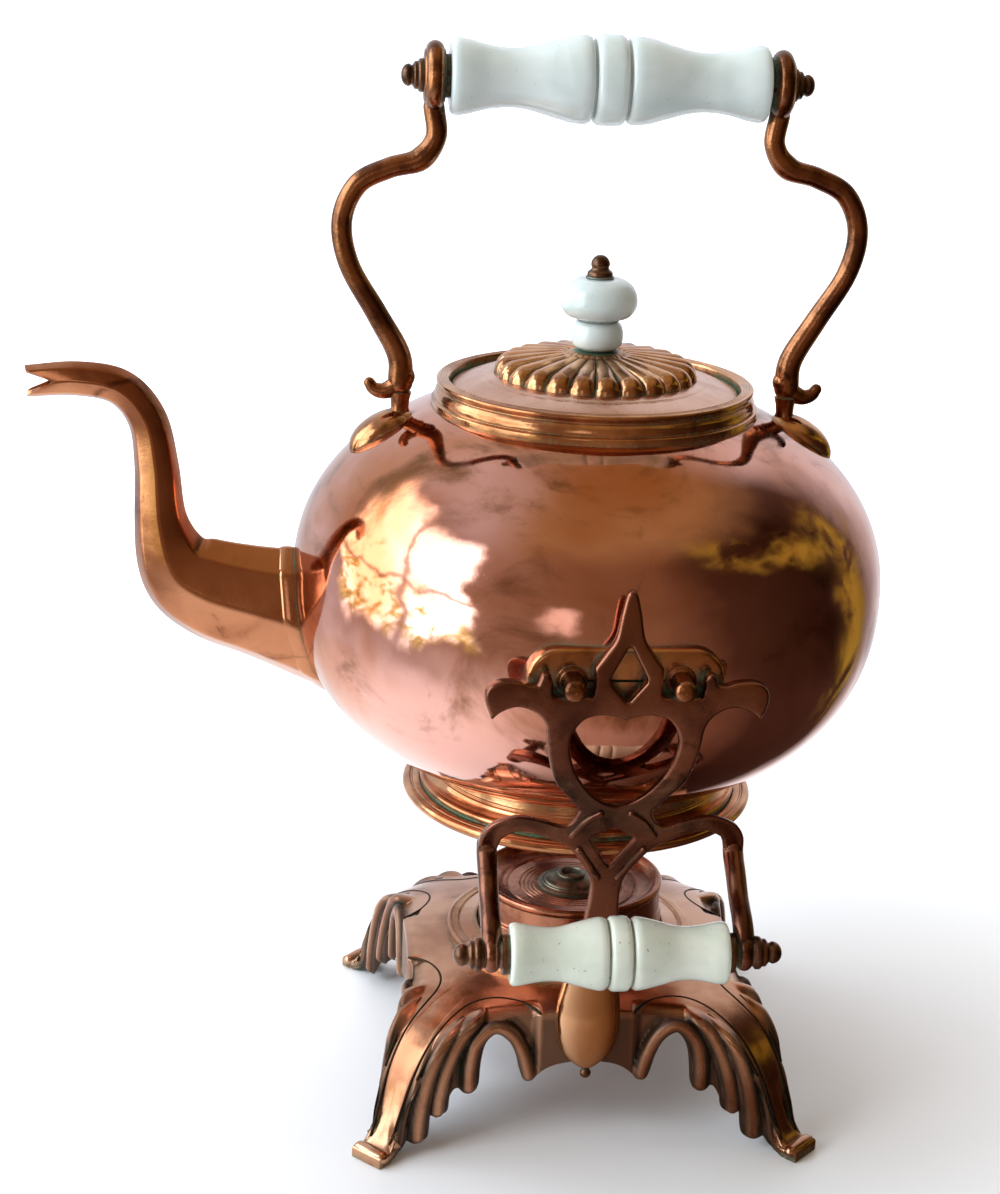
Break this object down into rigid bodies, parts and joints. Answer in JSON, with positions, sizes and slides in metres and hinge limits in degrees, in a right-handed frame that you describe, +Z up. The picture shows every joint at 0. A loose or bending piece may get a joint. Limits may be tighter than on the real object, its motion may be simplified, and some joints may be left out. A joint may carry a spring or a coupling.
{
  "type": "spirit kettle on stand",
  "caption": "Copper spirit kettle with glass grips, tipping on pegs in a pierced-bracket stand with four scroll legs over a lift-out spirit lamp.",
  "frame": {"origin": "on the table, on the vertical axis of the kettle and stand, in the plane of the stand's feet", "axes": "+Z up; the spout points along -X; the front and rear brackets lie along -Y and +Y; the kettle tips about a line along Y"},
  "size_m": [0.3029, 0.2684, 0.383],
  "materials": {
    "belly_copper": "polished, with brown tarnish patches",
    "gilt_copper": "polished",
    "spout_copper": "burnished, darker in the angles",
    "arm_bronze": "dark, rubbed bright on the edges",
    "casting_bronze": "dark brown patina, rubbed edges",
    "base_copper": "satin top, dark in the flutes",
    "lid_copper": "polished",
    "lamp_copper": "satin, brown",
    "burner_metal": "dull grey-green",
    "nut_bronze": "dark, oily",
    "opal_glass": "glossy, opaque pale green-white glass",
    "wick_cotton": "twisted cotton"
  },
  "bodies": {
    "stand": {"stand_base": "base_copper", "seat_ring": "base_copper", "bracket_front": "casting_bronze", "leaf_front": "gilt_copper", "leaf_screw_front": "nut_bronze", "hangers_front": "arm_bronze", "low_grip_front": "opal_glass", "low_rod_front": "nut_bronze", "low_washers_front": "nut_bronze", "low_finials_front": "nut_bronze", "bracket_rear": "casting_bronze", "leaf_rear": "gilt_copper", "leaf_screw_rear": "nut_bronze", "hangers_rear": "arm_bronze", "low_grip_rear": "opal_glass", "low_rod_rear": "nut_bronze", "low_washers_rear": "nut_bronze", "low_finials_rear": "nut_bronze"},
    "kettle": {"kettle_body": "belly_copper", "kettle_shoulder": "belly_copper", "foot_ring": "gilt_copper", "neck_collar": "gilt_copper", "spout": "spout_copper", "spout_collar": "spout_copper", "saddle_left": "gilt_copper", "saddle_right": "gilt_copper", "handle_arm_left": "arm_bronze", "handle_arm_right": "arm_bronze", "top_grip": "opal_glass", "top_rod": "nut_bronze", "top_washers": "nut_bronze", "top_finials": "nut_bronze", "trunnion_pad_front": "gilt_copper", "trunnion_pad_rear": "gilt_copper", "trunnion_pegs_front": "arm_bronze", "trunnion_pegs_rear": "arm_bronze"},
    "lid": {"lid_plate": "lid_copper", "lid_rosette": "lid_copper", "knob_glass": "opal_glass", "knob_washers": "nut_bronze", "knob_nut": "nut_bronze", "knob_stud": "nut_bronze"},
    "lamp": {"lamp_font": "lamp_copper", "lamp_top": "lamp_copper", "burner": "burner_metal", "wick_tube": "burner_metal", "wick": "wick_cotton"}
  },
  "joints": [
    {"name": "kettle_tilt", "type": "hinge", "parent": "stand", "child": "kettle", "pos_m": [-0.0175, 0, 0.191], "axis": [0, -1, 0], "range_deg": [0, 40]},
    {"name": "lid_lift", "type": "slide", "parent": "kettle", "child": "lid", "axis": [0, 0, 1], "range_m": [0, 0.035]},
    {"name": "lamp_lift", "type": "slide", "parent": "stand", "child": "lamp", "axis": [0, 0, 1], "range_m": [0, 0.02]}
  ]
}
